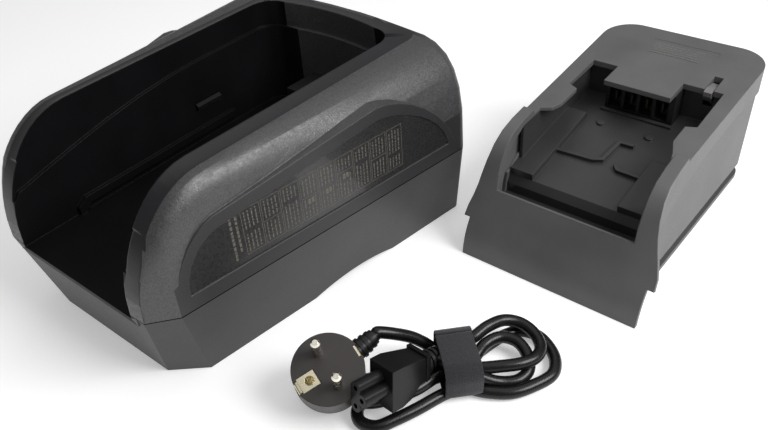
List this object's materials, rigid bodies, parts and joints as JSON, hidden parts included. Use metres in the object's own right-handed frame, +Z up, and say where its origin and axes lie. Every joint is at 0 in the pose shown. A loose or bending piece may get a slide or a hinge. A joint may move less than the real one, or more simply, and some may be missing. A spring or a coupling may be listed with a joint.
{
  "type": "power tool battery charger",
  "caption": "Two-piece battery charger: a bowl-shaped mains base with a docking cradle, a lift-out battery adapter, and a hanked mains lead with a round earthed plug.",
  "frame": {"origin": "middle of the charging base's flat underside, on the surface it stands on", "axes": "+X to the base's right, towards the adapter; +Y to the rear of both units; +Z up"},
  "size_m": [0.3371, 0.3675, 0.1187],
  "materials": {
    "base_upper": "spark-eroded",
    "base_lower": "satin",
    "panel": "gloss",
    "rubber_pad": "matt",
    "screw_steel": "zinc plated",
    "inlet_black": "gloss",
    "nickel": "nickel plated",
    "circuit_board": "lacquered",
    "ferrite": "sintered",
    "coil_tape": "tape",
    "capacitor_sleeve": "sleeve",
    "heat_sink_metal": "extruded",
    "component_black": "moulded",
    "fuse_glass": "clear",
    "coil_wire": "enamelled",
    "light_lens": "clear lens",
    "wire_brown": "insulation",
    "contact_gold": "plated",
    "wire_red": "insulation",
    "detent_plastic": "satin",
    "spring_steel": "drawn wire",
    "adapter_shell": "satin",
    "adapter_lower": "satin",
    "adapter_plate": "satin",
    "terminal_plastic": "satin",
    "catch_plastic": "satin",
    "plug_shell": "satin",
    "pin_nickel": "nickel plated",
    "earth_brass": "plated",
    "cord_sheath": "satin gloss",
    "strap_tape": "woven",
    "connector_shell": "satin gloss"
  },
  "bodies": {
    "base": {"base_upper_shell": "base_upper", "base_lower_shell": "base_lower", "right_label_panel": "panel", "left_label_panel": "panel", "anti_slip_pads": "rubber_pad", "base_screws": "screw_steel", "mains_inlet": "inlet_black", "inlet_pins": "nickel", "charger_board": "circuit_board", "transformer_core": "ferrite", "transformer_coil": "coil_tape", "capacitors": "capacitor_sleeve", "heat_sink": "heat_sink_metal", "power_transistors": "component_black", "mains_fuse": "fuse_glass", "noise_choke": "coil_wire", "indicator_lights": "light_lens", "inlet_wires": "wire_brown", "dock_terminal_block": "component_black", "dock_contacts": "contact_gold", "dock_wires": "wire_red", "detent_spring": "spring_steel"},
    "detent": {"detent_button": "detent_plastic"},
    "adapter": {"adapter_cover": "adapter_shell", "bay_tray": "adapter_shell", "adapter_frame": "adapter_lower", "adapter_bottom_plate": "adapter_plate", "bay_terminal_block": "terminal_plastic", "bay_terminals": "contact_gold", "adapter_board": "circuit_board", "adapter_wires": "wire_red", "dock_sockets": "component_black", "catch_spring": "spring_steel", "adapter_screws": "screw_steel"},
    "catch": {"battery_catch": "catch_plastic"},
    "lead": {"plug_body": "plug_shell", "plug_pins": "pin_nickel", "plug_earth_clips": "earth_brass", "plug_earth_socket": "earth_brass", "plug_strain_relief": "cord_sheath", "lead_run": "cord_sheath", "lead_hank": "cord_sheath", "lead_strap": "strap_tape", "connector_body": "connector_shell", "connector_boot": "cord_sheath", "connector_contacts": "contact_gold"}
  },
  "joints": [
    {"name": "adapter_lift", "type": "slide", "parent": "base", "child": "adapter", "axis": [0, 0, 1], "range_m": [0, 0.12]},
    {"name": "lead_lift", "type": "slide", "parent": "base", "child": "lead", "axis": [0, 0, 1], "range_m": [0, 0.12]},
    {"name": "detent_press", "type": "slide", "parent": "base", "child": "detent", "axis": [-1, 0, 0], "range_m": [0, 0.002], "stiffness_N_per_m": 300, "springref_m": -0.002, "deforming": ["detent_spring"]},
    {"name": "catch_press", "type": "slide", "parent": "adapter", "child": "catch", "axis": [0, 0, -1], "range_m": [0, 0.003], "stiffness_N_per_m": 300, "springref_m": -0.002, "deforming": ["catch_spring"]}
  ]
}
